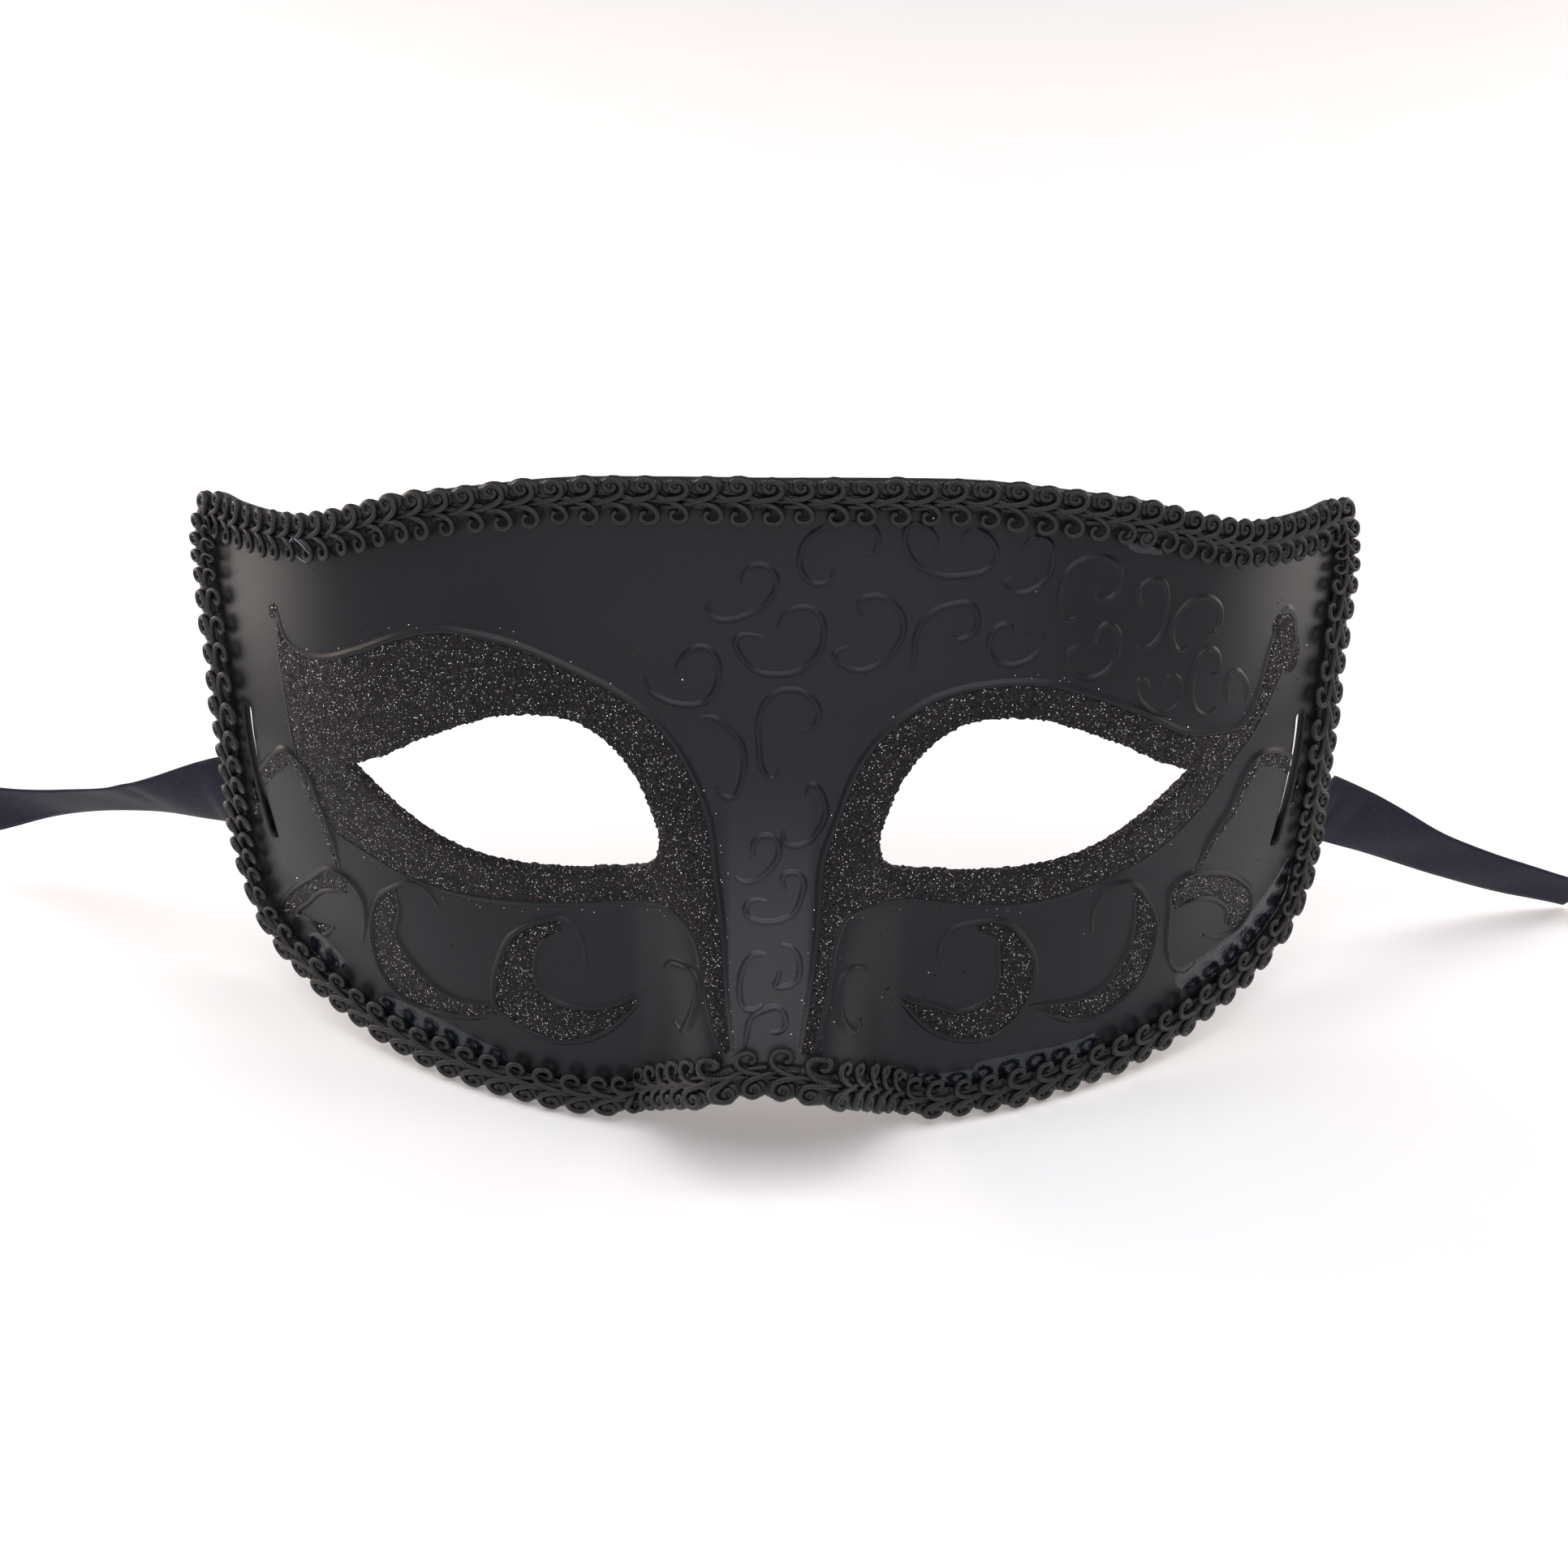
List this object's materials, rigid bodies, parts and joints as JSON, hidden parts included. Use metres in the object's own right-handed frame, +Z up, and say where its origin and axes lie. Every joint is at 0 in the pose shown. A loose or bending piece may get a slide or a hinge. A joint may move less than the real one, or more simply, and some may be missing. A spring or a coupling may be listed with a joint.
{
  "type": "half-face masquerade mask",
  "caption": "Black moulded half-face masquerade mask with nose ridge, almond eye openings, raised scrolls, glitter panels, gimp braid edging and satin ribbon ties.",
  "frame": {"origin": "on the floor that the mask stands on, below the middle of its bounding box", "axes": "+X to the right of someone who looks at the front, +Y from the nose towards the wearer, +Z up the face"},
  "size_m": [0.2573, 0.0956, 0.1027],
  "materials": {
    "shell": "satin black moulded plastic with black glitter panels",
    "braid": "deep black wound rayon gimp cord",
    "ribbon": "black satin with a blue-grey sheen"
  },
  "bodies": {
    "root": {"mask_shell": "shell", "edge_braid": "braid", "ribbon_left": "ribbon", "ribbon_right": "ribbon"}
  },
  "joints": []
}
